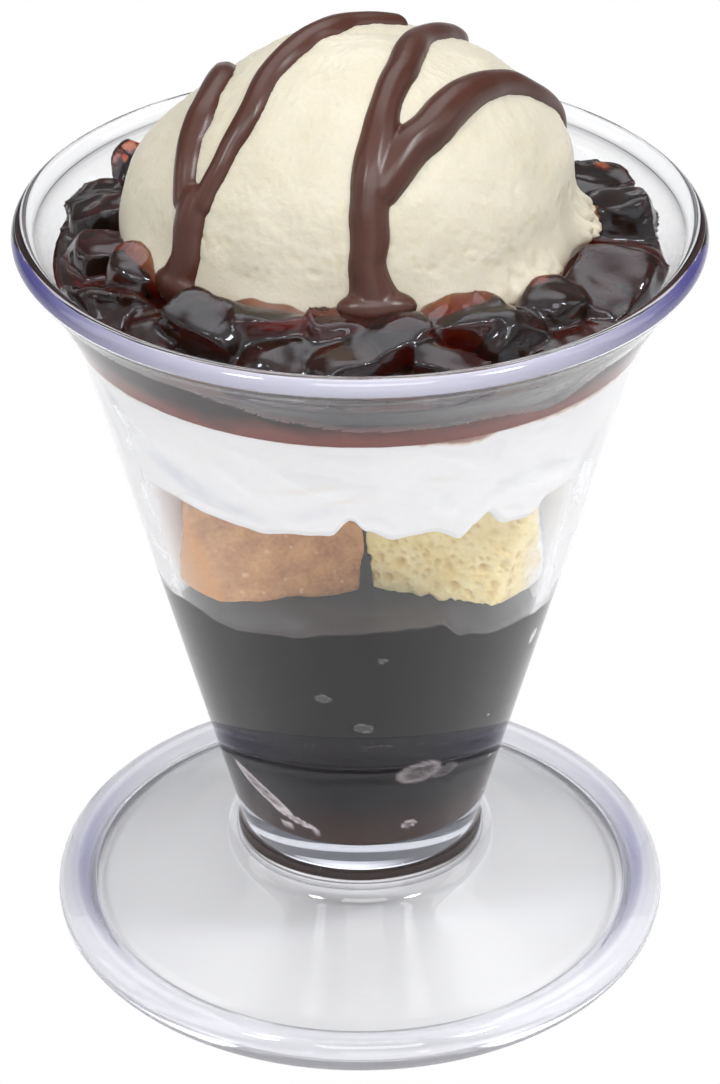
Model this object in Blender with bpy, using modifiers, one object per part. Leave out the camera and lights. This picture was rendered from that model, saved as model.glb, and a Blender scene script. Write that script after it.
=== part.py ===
# Coffee jelly parfait in a clear footed cup.
# Lower coffee jelly, sponge cake pieces, whipped cream, a heap of jelly chunks
# and one scoop of ice cream with chocolate drizzle. Metres, +Z up, origin at
# the middle of the foot's underside. The side shown to a guest faces -Y.

import math
import random

import bmesh
import bpy
from mathutils import Matrix, Vector, noise

MM = 0.001
GAP = 0.3 * MM                      # air left between neighbouring solids

# Cup
CUP_STEPS = 48
FOOT_BEAD_RING = 37.85 * MM         # radius of the ring the bead is centred on
FOOT_BEAD = 2.33 * MM               # radius of the solid bead round the foot
REST_RING = (37.2 * MM, 38.5 * MM)  # flat ring under the bead
PLATE_THICKNESS = 2.1 * MM
PLATE_SLOPE = 0.41
PLATE_TOP = (17.4 * MM, 10.35 * MM)  # where the plate meets the neck's fillet
PLATE_START = 19.0 * MM             # radius where the plate is straight
PLATE_UNDER = (36.1 * MM, 17.0 * MM)  # its underside, from the bead to the hollow
HOLLOW = (11.9 * MM, 10.5 * MM)     # radius and height of the hollow under the floor
FLOOR = 18.0 * MM                   # height of the inner floor
FLOOR_CORNER = 2.5 * MM
NECK_TOP = 15.0 * MM
NECK_RADIUS = 15.9 * MM
NECK = ((15.65 * MM, 13.8 * MM), (16.1 * MM, 12.4 * MM))
CONE_SLOPE = 0.263                  # growth of the outer radius with height
FLARE_SLOPE = 0.31                  # what the flare adds to that
FLARE_Z = 88.0 * MM
FLARE_BLEND = 1.5 * MM
WALL = 1.95 * MM                    # wall measured level
FLARE_WALL = 0.12 * MM              # what the slanted flare adds to that
LIP_CENTRE = (40.6 * MM, 99.0 * MM)
LIP_HALF = (1.4 * MM, 1.5 * MM)     # half width and half height of the lip

# Layers
LAYER_STEPS = 48
JELLY_TOP = 57.3 * MM
JELLY_DIP = 2.6 * MM                # how far its edge sinks at the wall
JELLY_DIP_START = 0.84              # share of the radius where that begins
JELLY_RINGS = (0.5, 0.84, 0.93)
JELLY_BEND = 52.0 * MM
CREAM_RINGS = (0.45, 0.8)
CREAM_TOP = 88.7 * MM
CREAM_RAG = 0.45 * MM               # unevenness of the cream's top edge
POCKETS = (("front_pocket", -91, 66), ("back_pocket", 89, 62))  # middle and half spread
POCKET_TOP = 72.0 * MM              # cream ends here in front of the cakes
POCKET_WAVE = 1.6 * MM
POCKET_SIDE_DROP = 9.0 * MM         # how much lower that is at the pocket's ends
POCKET_FOOT = 4.0 * MM              # how far the cutter reaches under the jelly's top
POCKET_RADII = (16.0 * MM, 34.0 * MM)
POCKET_COLUMNS = 9

# Sponge cake pieces: middle (x, y), turn in degrees, size, name
CAKE_HEIGHT = 15.5 * MM
CAKE_ROUND = 0.30                   # 0 keeps the block square, 1 makes it a ball
CAKE_BALL = 1.32                    # that ball's radius, in half sides
CAKE_FLAT = (1.05, 0.68)            # rounding starts here, and grows over this
CAKE_CUTS = 3
CAKE_ROUGH = 0.45 * MM
CAKES = (
    ("cake_crust_front", (-11.0, -9.9), 7, (21.0, 17.0)),
    ("cake_crumb_front", (12.2, -10.3), -13, (19.5, 17.0)),
    ("cake_crumb_back", (-11.4, 9.9), -8, (19.5, 15.5)),
    ("cake_crust_back", (11.2, 10.1), 8, (20.0, 15.5)),
)

# Scoop
SCOOP_MIDDLE = Vector((-0.9, 2.5, 95.3)) * MM
SCOOP_RADIUS = 26.8 * MM
SCOOP_BOTTOM = -3.2 * MM            # underside, from the scoop's middle
SKIRT_Z = 3.0 * MM                  # height of the melted skirt's widest line
SKIRT_HALF = 2.5 * MM               # its half thickness
SKIRT_BASE = 0.4 * MM               # how far it stands out all round
SKIRT_TONGUES = (                   # azimuth, reach in mm, half width in degrees
    (1, 3.4, 13), (-38, 1.9, 15), (-64, 1.1, 12), (-112, 0.9, 16),
    (-150, 1.5, 16), (186, 0.9, 18), (150, 0.4, 16), (48, 0.7, 14),
)
SCOOP_SHOULDERS = (                 # azimuth, elevation, rise in mm, width, height
    (17, 24, 1.9, 24, 12), (32, 44, 1.2, 34, 20), (170, 17, 2.1, 36, 17), (131, 50, -1.0, 38, 20),
)
SCOOP_ARC = 84                      # degrees of round dome, from the top down
SCOOP_SIDE = 0.985                  # share of its radius the upright side stands at
SCOOP_FOOT = ((0.0, 3.4), (1.2, 1.0), (3.2, 0.0))  # inside the side, over the underside, mm
SCOOP_STEPS = 40
SCOOP_RINGS = 16
SCOOP_LEAN = 0.55 * MM
SCOOP_RELIEF = 0.35 * MM
MARGIN_SLACK = 1.15                 # the cutter's faces lie inside its corners' offset

# Drizzle: each stroke as (azimuth, elevation) degrees seen from the scoop's middle
BRANCH_HALF = 1.6 * MM
TRUNK_HALF = 2.05 * MM
DRIZZLE_RISE = 0.35 * MM            # how far a stroke's middle line stands proud
DRIZZLE_STEP = 2.8 * MM
POOL_RISE = 0.6 * MM
STROKES = (
    ("left_outer", BRANCH_HALF, ((160, 50), (173, 52), (188, 49), (196, 45), (202, 40),
                                 (207, 36), (211, 32), (215, 28))),
    ("left_inner", BRANCH_HALF, ((62, 66), (83, 74), (101, 77), (132, 80), (166, 78), (189, 74), (205, 66),
                                 (217, 57), (220, 51), (221, 45), (222, 40), (222, 34), (222, 29))),
    ("left_trunk", TRUNK_HALF, ((219, 28), (220, 24), (222, 20), (223, 16), (222, 10))),
    ("right_outer", BRANCH_HALF, ((22, 22), (19, 29), (16, 34), (12, 39), (6, 46), (-2, 51), (-14, 55),
                                  (-29, 57), (-44, 56), (-56, 53), (-67, 50), (-75, 45), (-81, 40))),
    ("right_inner", BRANCH_HALF, ((52, 42), (46, 50), (41, 58), (23, 71), (-14, 75), (-46, 72),
                                  (-62, 68), (-71, 63), (-76, 58), (-79, 53), (-82, 47), (-84, 41))),
    ("right_trunk", TRUNK_HALF, ((-83, 44), (-84, 40), (-85, 34), (-85, 28), (-86, 22), (-85, 13))),
)
POOLS = (                           # azimuth, elevation, half sizes across, down, out
    ("left_pool", 221, 8, (3.2, 2.6, 2.0)),
    ("right_pool", -84, 12, (4.6, 2.2, 2.2)),
)

# Heap of jelly chunks: middle x, y, z, size x, y, z in mm, turn and tilt in degrees
HEAP_CORE_TOP = (96.6 * MM, 95.3 * MM)   # beside the scoop and at the wall
HEAP_SHOULDER = (33.0 * MM, 96.2 * MM)   # its core's radius and height near the wall
HEAP_RINGS = (93.0 * MM, 91.0 * MM)
HEAP_UNDER = (28.0 * MM, 15.0 * MM)
HEAP_EDGE_ROOM = 0.35 * MM               # chunks stop this far inside the core's edge
CHUNK_ROUND = 1.3 * MM
CHUNK_SKEW = 0.9 * MM
CHUNKS = (
    ((-28.0, 20.5, 96.5), (6, 8, 6), 35, 12),
    ((-32.0, 9.5, 95.6), (8, 10, 5), 10, -8),
    ((-31.0, -3.0, 95.4), (8, 9, 8), 12, 5),
    ((-26.8, -10.6, 96.4), (8, 8, 7), 30, 14),
    ((-30.0, -17.6, 95.0), (10, 12, 7), 32, -12),
    ((-23.8, -23.4, 95.5), (9, 8, 6), 50, 8),
    ((-18.0, -24.4, 96.4), (10, 9, 8), -25, 10),
    ((-11.2, -24.6, 98.1), (9, 9, 7), 14, -12),
    ((-8.0, -30.6, 95.2), (9, 8, 7), -20, 8),
    ((-3.6, -25.6, 98.6), (8, 7, 6), 24, 12),
    ((1.4, -30.0, 96.2), (15, 7, 7), 32, 10),
    ((10.0, -31.4, 95.3), (8, 7, 6), -16, -10),
    ((11.2, -24.0, 98.2), (9, 8, 6), 8, 12),
    ((17.2, -25.4, 96.0), (9, 9, 8), 28, -12),
    ((27.6, -14.8, 95.7), (13, 10, 7), 62, 9),
    ((24.0, -24.8, 94.6), (11, 8, 7), 44, -8),
    ((33.2, -5.0, 95.0), (6, 9, 6), 8, 8),
    ((31.0, 6.6, 95.5), (8, 9, 8), 8, -10),
    ((28.4, 16.6, 95.6), (9, 8, 5), 30, 6),
    ((21.4, 26.2, 94.8), (10, 8, 6), 52, -6),
    ((12.6, 32.2, 93.6), (8, 7, 6), 20, 8),
    ((0.0, 33.6, 93.3), (10, 6, 6), -6, -6),
    ((-12.8, 31.8, 93.8), (9, 8, 6), -22, 6),
    ((-21.8, 26.6, 95.0), (9, 8, 6), 40, -8),
)
CHUNK_SEED = 11

# Finish: colour, roughness, metallic
CLEAR_PLASTIC = ((0.86, 0.86, 0.92), 0.08, 0.0)
COFFEE_JELLY = ((0.022, 0.012, 0.010), 0.12, 0.0)
CAKE_CRUST = ((0.58, 0.30, 0.15), 0.75, 0.0)
CAKE_CRUMB = ((0.86, 0.70, 0.38), 0.85, 0.0)
WHIPPED_CREAM = ((0.90, 0.89, 0.87), 0.55, 0.0)
ICE_CREAM = ((0.93, 0.88, 0.74), 0.50, 0.0)


def clear_scene():
    for item in list(bpy.data.objects):
        bpy.data.objects.remove(item, do_unlink=True)


def new_collection(name):
    collection = bpy.data.collections.new(name)
    bpy.context.scene.collection.children.link(collection)
    return collection


def finish(piece, name, look):
    colour, roughness, metallic = look
    material = bpy.data.materials.new(name)
    material.use_nodes = True
    shader = material.node_tree.nodes["Principled BSDF"]
    shader.inputs["Base Color"].default_value = (*colour, 1.0)
    shader.inputs["Roughness"].default_value = roughness
    shader.inputs["Metallic"].default_value = metallic
    piece.data.materials.clear()
    piece.data.materials.append(material)
    piece.data.shade_smooth()
    piece.data.set_sharp_from_angle(angle=math.radians(35))


def mesh_object(name, mesh, collection):
    piece = bpy.data.objects.new(name, mesh)
    collection.objects.link(piece)
    return piece


def bake_modifiers(piece):
    """Replaces a piece's mesh by the evaluated one, so that it can be edited."""
    bpy.context.view_layer.update()
    graph = bpy.context.evaluated_depsgraph_get()
    mesh = bpy.data.meshes.new_from_object(piece.evaluated_get(graph))
    piece.modifiers.clear()
    piece.data = mesh
    return piece


def turned(name, profile, steps, collection):
    """A body of revolution from (radius, height) points, outer side top to bottom."""
    mesh = bpy.data.meshes.new(name)
    edges = [(i, i + 1) for i in range(len(profile) - 1)]
    mesh.from_pydata([(r, 0.0, z) for r, z in profile], edges, [])
    piece = mesh_object(name, mesh, collection)
    screw = piece.modifiers.new("turn", "SCREW")
    screw.axis = "Z"
    screw.angle = math.tau
    screw.steps = steps
    screw.render_steps = steps
    screw.use_merge_vertices = True
    screw.merge_threshold = 0.01 * MM
    return bake_modifiers(piece)


def boolean(piece, operation, other=None, collection=None, solver="EXACT"):
    modifier = piece.modifiers.new(operation.lower(), "BOOLEAN")
    modifier.operation = operation
    modifier.solver = solver
    if collection is not None:
        modifier.operand_type = "COLLECTION"
        modifier.collection = collection
    else:
        modifier.object = other
    return bake_modifiers(piece)


def hide_cutter(piece):
    piece.hide_render = True
    piece.display_type = "WIRE"


def drop_scraps(piece):
    """Keeps a mesh's largest connected body and deletes loose slivers."""
    bm = bmesh.new()
    bm.from_mesh(piece.data)
    bmesh.ops.remove_doubles(bm, verts=bm.verts, dist=0.002 * MM)
    seen = set()
    bodies = []
    for start in bm.verts:
        if start in seen:
            continue
        body = {start}
        edge_of_body = [start]
        while edge_of_body:
            vertex = edge_of_body.pop()
            for edge in vertex.link_edges:
                other = edge.other_vert(vertex)
                if other not in body:
                    body.add(other)
                    edge_of_body.append(other)
        seen |= body
        bodies.append(body)
    largest = max(bodies, key=len)
    loose = [v for v in bm.verts if v not in largest]
    bmesh.ops.delete(bm, geom=loose, context="VERTS")
    bm.to_mesh(piece.data)
    bm.free()


def move_points(piece, move):
    """Sets every point of a piece to what move says of it."""
    for vertex in piece.data.vertices:
        vertex.co = move(vertex.co)
    piece.data.update()


def ease(value):
    value = min(max(value, 0.0), 1.0)
    return value * value * (3.0 - 2.0 * value)


def arc(centre, half, start, end, count):
    """Points on an ellipse in (radius, height), from one angle to another in degrees."""
    points = []
    for i in range(count + 1):
        angle = math.radians(start + (end - start) * i / count)
        points.append((centre[0] + half[0] * math.cos(angle), centre[1] + half[1] * math.sin(angle)))
    return points


def outer_radius(z):
    rise = z - FLARE_Z
    flare = 0.5 * (rise + math.sqrt(rise * rise + FLARE_BLEND * FLARE_BLEND))
    return NECK_RADIUS + CONE_SLOPE * (z - NECK_TOP) + FLARE_SLOPE * flare


def inner_radius(z):
    return outer_radius(z) - WALL - FLARE_WALL * ease((z - FLARE_Z) / (4.0 * MM))


def floor_corner(room):
    """Round corner between floor and cone, room inside the cup's own, from the floor up."""
    lean = math.atan(CONE_SLOPE)
    height = FLOOR + FLOOR_CORNER
    centre = (inner_radius(height) - FLOOR_CORNER / math.cos(lean), height)
    half = FLOOR_CORNER - room
    return arc(centre, (half, half), -90, -math.degrees(lean), 3)


def plate_top(radius):
    return PLATE_TOP[1] - PLATE_SLOPE * (radius - PLATE_TOP[0])


def make_cup(collection):
    flare_heights = [z * MM for z in (86.0, 88.5, 91.0, 96.0)]
    profile = [(0.0, FLOOR)] + floor_corner(0.0)
    profile += [(inner_radius(z), z) for z in flare_heights]
    profile += arc(LIP_CENTRE, LIP_HALF, 175, -65, 8)
    profile += [(outer_radius(z), z) for z in reversed(flare_heights)]
    profile += [(NECK_RADIUS, NECK_TOP), *NECK, PLATE_TOP, (PLATE_START, plate_top(PLATE_START))]
    bead = (FOOT_BEAD_RING, FOOT_BEAD)
    profile += arc(bead, (FOOT_BEAD, FOOT_BEAD), 166, -60, 6)
    profile += [(REST_RING[1], 0.0), (REST_RING[0], 0.0)]
    profile += [(radius, plate_top(radius) - PLATE_THICKNESS) for radius in PLATE_UNDER]
    profile += [HOLLOW, (0.0, HOLLOW[1])]
    cup = turned("cup", profile, CUP_STEPS, collection)
    finish(cup, "clear_plastic", CLEAR_PLASTIC)
    return cup


def content_profile(bottom, top, rings, room):
    """Filling of the cup between two heights, room away from its inner wall."""
    profile = [(0.0, top)]
    profile += [((inner_radius(top) - room) * share, top) for share in CREAM_RINGS]
    for i in range(rings + 1):
        z = top + (bottom - top) * i / rings
        profile.append((inner_radius(z) - room, z))
    profile.append((0.0, bottom))
    return profile


def jelly_edge(angle):
    """How far the lower jelly's edge sinks below its top, 0 to 1."""
    wave = 0.45 - 0.25 * math.sin(angle - 0.4) - 0.2 * math.cos(3.0 * angle + 0.7)
    return min(max(wave + 0.12 * math.sin(7.0 * angle), 0.0), 1.0)


def make_lower_jelly(collection):
    profile = [(0.0, JELLY_TOP)]
    edge = inner_radius(JELLY_TOP) - GAP
    profile += [(edge * share, JELLY_TOP) for share in JELLY_RINGS]
    profile += [(edge, JELLY_TOP), (inner_radius(JELLY_BEND) - GAP, JELLY_BEND)]
    profile += list(reversed(floor_corner(GAP))) + [(0.0, FLOOR + GAP)]
    jelly = turned("jelly_lower", profile, LAYER_STEPS, collection)

    def sink_edge(point):
        if point.z < JELLY_TOP - GAP:
            return point
        radius = math.hypot(point.x, point.y)
        near = ease((radius / edge - JELLY_DIP_START) / (1.0 - JELLY_DIP_START))
        sink = JELLY_DIP * jelly_edge(math.atan2(point.y, point.x)) * near
        z = point.z - sink
        limit = (inner_radius(z) - GAP) / max(radius, GAP)
        scale = min(1.0, limit)
        return Vector((point.x * scale, point.y * scale, z))

    move_points(jelly, sink_edge)
    finish(jelly, "coffee_jelly_lower", COFFEE_JELLY)
    return jelly


def cake_block(name, place, turn, size, margin, collection):
    """A soft-edged block of sponge, its surface slightly uneven."""
    bm = bmesh.new()
    bmesh.ops.create_cube(bm, size=1.0)
    bmesh.ops.subdivide_edges(bm, edges=bm.edges, cuts=CAKE_CUTS, use_grid_fill=True)
    half = Vector((size[0] * MM, size[1] * MM, CAKE_HEIGHT)) * 0.5
    for vertex in bm.verts:
        unit = vertex.co * 2.0
        ball = unit.normalized() * CAKE_BALL
        unit = unit.lerp(ball, CAKE_ROUND * max(0.0, unit.length - CAKE_FLAT[0]) / CAKE_FLAT[1])
        point = Vector((unit.x * half.x, unit.y * half.y, unit.z * half.z))
        rough = noise.noise(point / (4.0 * MM) + Vector((place[0], place[1], 0.0)))
        vertex.co = point + unit.normalized() * (margin + CAKE_ROUGH * rough)
    lift = JELLY_TOP + GAP + half.z + CAKE_ROUGH * 0.5
    where = Matrix.Translation((place[0] * MM, place[1] * MM, lift))
    bm.transform(where @ Matrix.Rotation(math.radians(turn), 4, "Z"))
    floor = JELLY_TOP + GAP
    for vertex in bm.verts:
        vertex.co.z = max(vertex.co.z, floor - margin)
        radius = math.hypot(vertex.co.x, vertex.co.y)
        limit = inner_radius(vertex.co.z) - 2.0 * GAP + margin
        if radius > limit:
            vertex.co.x *= limit / radius
            vertex.co.y *= limit / radius
    mesh = bpy.data.meshes.new(name)
    bm.to_mesh(mesh)
    bm.free()
    return mesh_object(name, mesh, collection)


def make_cakes(collection):
    for name, place, turn, size in CAKES:
        cake = cake_block(name, place, turn, size, 0.0, collection)
        finish(cake, name, CAKE_CRUST if "crust" in name else CAKE_CRUMB)


def cream_edge(angle):
    """Unevenness of the cream's top, shared with the heap that lies on it."""
    return CREAM_RAG * (0.6 * math.sin(5.0 * angle + 1.0) + 0.4 * math.sin(11.0 * angle))


def wave_level(piece, level):
    """Gives the points at one height the cream's uneven top."""
    def move(point):
        if abs(point.z - level) > 0.05 * MM:
            return point
        radius = math.hypot(point.x, point.y)
        share = ease(radius / inner_radius(level) * 2.0 - 1.0)
        z = point.z + cream_edge(math.atan2(point.y, point.x)) * share
        limit = (inner_radius(z) - GAP) / max(radius, GAP)
        scale = min(1.0, limit)
        return Vector((point.x * scale, point.y * scale, z))

    move_points(piece, move)


def pocket(name, middle, spread, collection):
    """Air space between the cakes' outer faces and the wall, under the cream's edge."""
    bottom = JELLY_TOP - POCKET_FOOT
    inner, outer = POCKET_RADII
    bm = bmesh.new()
    rings = []
    for i in range(POCKET_COLUMNS):
        share = i / (POCKET_COLUMNS - 1)
        angle = math.radians(middle + spread * (2.0 * share - 1.0))
        side = math.sin(math.pi * share)
        top = POCKET_TOP - POCKET_SIDE_DROP * (1.0 - side) ** 2
        top += POCKET_WAVE * math.sin(6.0 * math.pi * share)
        ring = []
        for radius, z in ((inner, bottom), (outer, bottom), (outer, top), (inner, top)):
            ring.append(bm.verts.new((radius * math.cos(angle), radius * math.sin(angle), z)))
        rings.append(ring)
    for first, second in zip(rings, rings[1:]):
        for i in range(4):
            bm.faces.new((first[i], second[i], second[(i + 1) % 4], first[(i + 1) % 4]))
    bm.faces.new(rings[0])
    bm.faces.new(list(reversed(rings[-1])))
    bmesh.ops.recalc_face_normals(bm, faces=bm.faces)
    mesh = bpy.data.meshes.new(name)
    bm.to_mesh(mesh)
    bm.free()
    piece = mesh_object(name, mesh, collection)
    hide_cutter(piece)
    return piece


def make_cream(collection, cutters):
    bottom = JELLY_TOP + GAP
    cream = turned("cream", content_profile(bottom, CREAM_TOP, 5, GAP), LAYER_STEPS, collection)
    wave_level(cream, CREAM_TOP)
    for name, place, turn, size in CAKES:
        cutter = cake_block("around_" + name, place, turn, size, GAP, cutters)
        hide_cutter(cutter)
        boolean(cream, "DIFFERENCE", other=cutter)
    for name, middle, spread in POCKETS:
        space = pocket(name, middle, spread, cutters)
        boolean(cream, "DIFFERENCE", other=space, solver="MANIFOLD")
    drop_scraps(cream)
    finish(cream, "whipped_cream", WHIPPED_CREAM)
    return cream


def scoop_lean(out):
    """How far the scoop stands out of a round dome in one direction."""
    azimuth = math.degrees(math.atan2(out.y, out.x))
    elevation = math.degrees(math.asin(max(-1.0, min(1.0, out.z))))
    rise = SCOOP_LEAN * (out.x * 0.8 + 0.2) * ease(out.z * 1.4)
    for place, height, most, wide, high in SCOOP_SHOULDERS:
        away = (azimuth - place + 180.0) % 360.0 - 180.0
        away *= math.cos(math.radians(elevation))
        rise += most * MM * math.exp(-(away / wide) ** 2 - ((elevation - height) / high) ** 2)
    return rise


def scoop_point(azimuth, elevation, proud):
    """A point over the scoop's surface, proud of it, at angles in radians."""
    out = Vector((math.cos(azimuth) * math.cos(elevation),
                  math.sin(azimuth) * math.cos(elevation), math.sin(elevation)))
    return SCOOP_MIDDLE + out * (SCOOP_RADIUS + scoop_lean(out) + proud)


def skirt_reach(angle):
    """How far the melted edge stands out of the dome at one angle round it."""
    reach = SKIRT_BASE
    for azimuth, length, width in SKIRT_TONGUES:
        away = (math.degrees(angle) - azimuth + 180.0) % 360.0 - 180.0
        reach += length * MM * math.exp(-(away / width) ** 2)
    return reach


def scoop_profile():
    """Dome, upright lower side and flat underside, from the top to the axis below."""
    profile = []
    for i in range(SCOOP_RINGS):
        angle = math.radians(90 - SCOOP_ARC * i / (SCOOP_RINGS - 1))
        profile.append((SCOOP_RADIUS * math.cos(angle), SCOOP_RADIUS * math.sin(angle)))
    for inside, over in SCOOP_FOOT:
        profile.append((SCOOP_RADIUS * SCOOP_SIDE - inside * MM, SCOOP_BOTTOM + over * MM))
    profile.append((0.0, SCOOP_BOTTOM))
    return profile


def make_dome(name, margin, collection):
    dome = turned(name, scoop_profile(), SCOOP_STEPS, collection)

    def shape(point):
        radius = math.hypot(point.x, point.y)
        if radius < 0.1 * MM:
            return point + SCOOP_MIDDLE
        angle = math.atan2(point.y, point.x)
        out = point.normalized()
        skirt = skirt_reach(angle) * math.exp(-((point.z - SKIRT_Z) / SKIRT_HALF) ** 2)
        relief = SCOOP_RELIEF * noise.noise(point / (5.0 * MM)) * ease((point.z + 2 * MM) / (6 * MM))
        flat = Vector((point.x / radius, point.y / radius, 0.0))
        return point + SCOOP_MIDDLE + flat * skirt + out * (scoop_lean(out) + relief)

    move_points(dome, shape)
    if margin > 0.0:
        outward = [vertex.normal.copy() for vertex in dome.data.vertices]
        for vertex, normal in zip(dome.data.vertices, outward):
            vertex.co += normal * margin * MARGIN_SLACK
    return dome


def smooth_path(points, step):
    """Points about a step apart on a smooth curve through the given ones."""
    path = [points[0]]
    ends = [points[0] * 2 - points[1]] + list(points) + [points[-1] * 2 - points[-2]]
    for a, b, c, d in zip(ends, ends[1:], ends[2:], ends[3:]):
        count = max(1, round((c - b).length / step))
        for i in range(1, count + 1):
            t = i / count
            point = 0.5 * (2 * b + (c - a) * t + (2 * a - 5 * b + 4 * c - d) * t * t
                           + (3 * b - a - 3 * c + d) * t * t * t)
            path.append(point)
    return path


def make_stroke(name, half, angles, margin, collection):
    """One line of thick drizzle, a tube half sunk in the scoop."""
    on_scoop = []
    for azimuth, elevation in angles:
        on_scoop.append(scoop_point(math.radians(azimuth), math.radians(elevation), DRIZZLE_RISE))
    path = smooth_path(on_scoop, DRIZZLE_STEP)
    curve = bpy.data.curves.new(name, "CURVE")
    curve.dimensions = "3D"
    curve.bevel_depth = half + margin
    curve.bevel_resolution = 2
    curve.use_fill_caps = True
    spline = curve.splines.new("POLY")
    spline.points.add(len(path) - 1)
    for item, place in zip(spline.points, path):
        out = (place - SCOOP_MIDDLE).normalized()
        place = SCOOP_MIDDLE + out * max((place - SCOOP_MIDDLE).length, SCOOP_RADIUS + DRIZZLE_RISE)
        item.co = (*place, 1.0)
    source = mesh_object(name, curve, collection)
    bpy.context.view_layer.update()
    graph = bpy.context.evaluated_depsgraph_get()
    mesh = bpy.data.meshes.new_from_object(source.evaluated_get(graph))
    bpy.data.objects.remove(source)
    bm = bmesh.new()
    bm.from_mesh(mesh)
    bmesh.ops.remove_doubles(bm, verts=bm.verts, dist=0.01 * MM)
    bmesh.ops.recalc_face_normals(bm, faces=bm.faces)
    bm.to_mesh(mesh)
    bm.free()
    return mesh_object(name, mesh, collection)


def make_pool(name, azimuth, elevation, halves, margin, collection):
    """The round end of a stroke, where the drizzle gathers."""
    azimuth = math.radians(azimuth)
    elevation = math.radians(elevation)
    bm = bmesh.new()
    bmesh.ops.create_uvsphere(bm, u_segments=12, v_segments=8, radius=1.0)
    grown = [value * MM + margin for value in halves]
    stretch = Matrix.Diagonal((grown[0], grown[2], grown[1], 1.0))
    stand = Matrix.Rotation(-elevation, 4, "X")
    turn = Matrix.Rotation(azimuth - math.pi / 2, 4, "Z")
    place = Matrix.Translation(scoop_point(azimuth, elevation, POOL_RISE))
    bm.transform(place @ turn @ stand @ stretch)
    mesh = bpy.data.meshes.new(name)
    bm.to_mesh(mesh)
    bm.free()
    return mesh_object(name, mesh, collection)


def fused_scoop(name, margin, collection):
    """The scoop with its drizzle in one body, margin larger all over."""
    scoop = make_dome(name, margin, collection)
    drizzle = new_collection(name + "_drizzle")
    for stroke, half, angles in STROKES:
        make_stroke(stroke, half, angles, margin, drizzle)
    for pool, azimuth, elevation, halves in POOLS:
        make_pool(pool, azimuth, elevation, halves, margin, drizzle)
    boolean(scoop, "UNION", collection=drizzle)
    for piece in list(drizzle.objects):
        bpy.data.objects.remove(piece)
    drop_scraps(scoop)
    return scoop


def make_ice_cream(collection):
    scoop = fused_scoop("ice_cream", 0.0, collection)
    finish(scoop, "ice_cream", ICE_CREAM)
    return scoop


def make_chunk(name, centre, size, turn, tilt, draw, collection):
    """A block of jelly with soft edges and corners a little out of true."""
    bm = bmesh.new()
    bmesh.ops.create_cube(bm, size=1.0)
    for vertex in bm.verts:
        skew = Vector([draw.uniform(-1.0, 1.0) for _ in range(3)]) * CHUNK_SKEW
        vertex.co = Vector([value * side * MM for value, side in zip(vertex.co, size)]) + skew
    bmesh.ops.bevel(bm, geom=bm.edges, offset=CHUNK_ROUND, segments=1, profile=0.5,
                    affect="EDGES", clamp_overlap=True, material=-1)
    turning = Matrix.Rotation(math.radians(turn), 4, "Z") @ Matrix.Rotation(math.radians(tilt), 4, "X")
    bm.transform(Matrix.Translation(Vector(centre) * MM) @ turning)
    for vertex in bm.verts:
        radius = math.hypot(vertex.co.x, vertex.co.y)
        limit = inner_radius(vertex.co.z) - GAP - HEAP_EDGE_ROOM
        if radius > limit:
            vertex.co.x *= limit / radius
            vertex.co.y *= limit / radius
        vertex.co.z = max(vertex.co.z, CREAM_TOP + 2.0 * MM)
    bmesh.ops.recalc_face_normals(bm, faces=bm.faces)
    mesh = bpy.data.meshes.new(name)
    bm.to_mesh(mesh)
    bm.free()
    return mesh_object(name, mesh, collection)


def make_heap(collection, chunks, cutters):
    bottom = CREAM_TOP + GAP
    beside, at_wall = HEAP_CORE_TOP
    profile = [(0.0, beside), (SCOOP_RADIUS + 1.0 * MM, beside), HEAP_SHOULDER]
    for z in (at_wall, *HEAP_RINGS, bottom):
        profile.append((inner_radius(z) - GAP, z))
    profile += [(radius, bottom) for radius in (*HEAP_UNDER, 0.0)]
    heap = turned("jelly_heap", profile, LAYER_STEPS, collection)
    wave_level(heap, bottom)
    draw = random.Random(CHUNK_SEED)
    pieces = []
    for number, (centre, size, turn, tilt) in enumerate(CHUNKS, 1):
        pieces.append(make_chunk("chunk_%02d" % number, centre, size, turn, tilt, draw, chunks))
    boolean(heap, "UNION", collection=chunks)
    for piece in pieces:
        bpy.data.objects.remove(piece)
    around = fused_scoop("around_scoop", GAP, cutters)
    hide_cutter(around)
    boolean(heap, "DIFFERENCE", other=around, solver="MANIFOLD")
    drop_scraps(heap)
    finish(heap, "coffee_jelly_chunks", COFFEE_JELLY)
    return heap


def main():
    clear_scene()
    parfait = new_collection("parfait")
    cutters = new_collection("cutters")
    chunks = new_collection("chunks")
    make_cup(parfait)
    make_lower_jelly(parfait)
    make_cakes(parfait)
    make_cream(parfait, cutters)
    make_heap(parfait, chunks, cutters)
    make_ice_cream(parfait)


main()
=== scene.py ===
import math
import random

import bmesh
import bpy
from mathutils import Matrix, Vector, noise


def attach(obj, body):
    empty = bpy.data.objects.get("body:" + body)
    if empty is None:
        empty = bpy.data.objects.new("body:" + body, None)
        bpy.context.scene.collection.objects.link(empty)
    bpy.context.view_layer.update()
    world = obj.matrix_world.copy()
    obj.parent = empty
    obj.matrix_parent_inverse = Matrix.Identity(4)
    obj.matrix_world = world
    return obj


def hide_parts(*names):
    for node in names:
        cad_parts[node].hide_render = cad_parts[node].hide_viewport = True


# A coffee jelly parfait in a clear footed cup. Shapes are worked out in millimetres and
# brought to metres when a piece is made.

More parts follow.
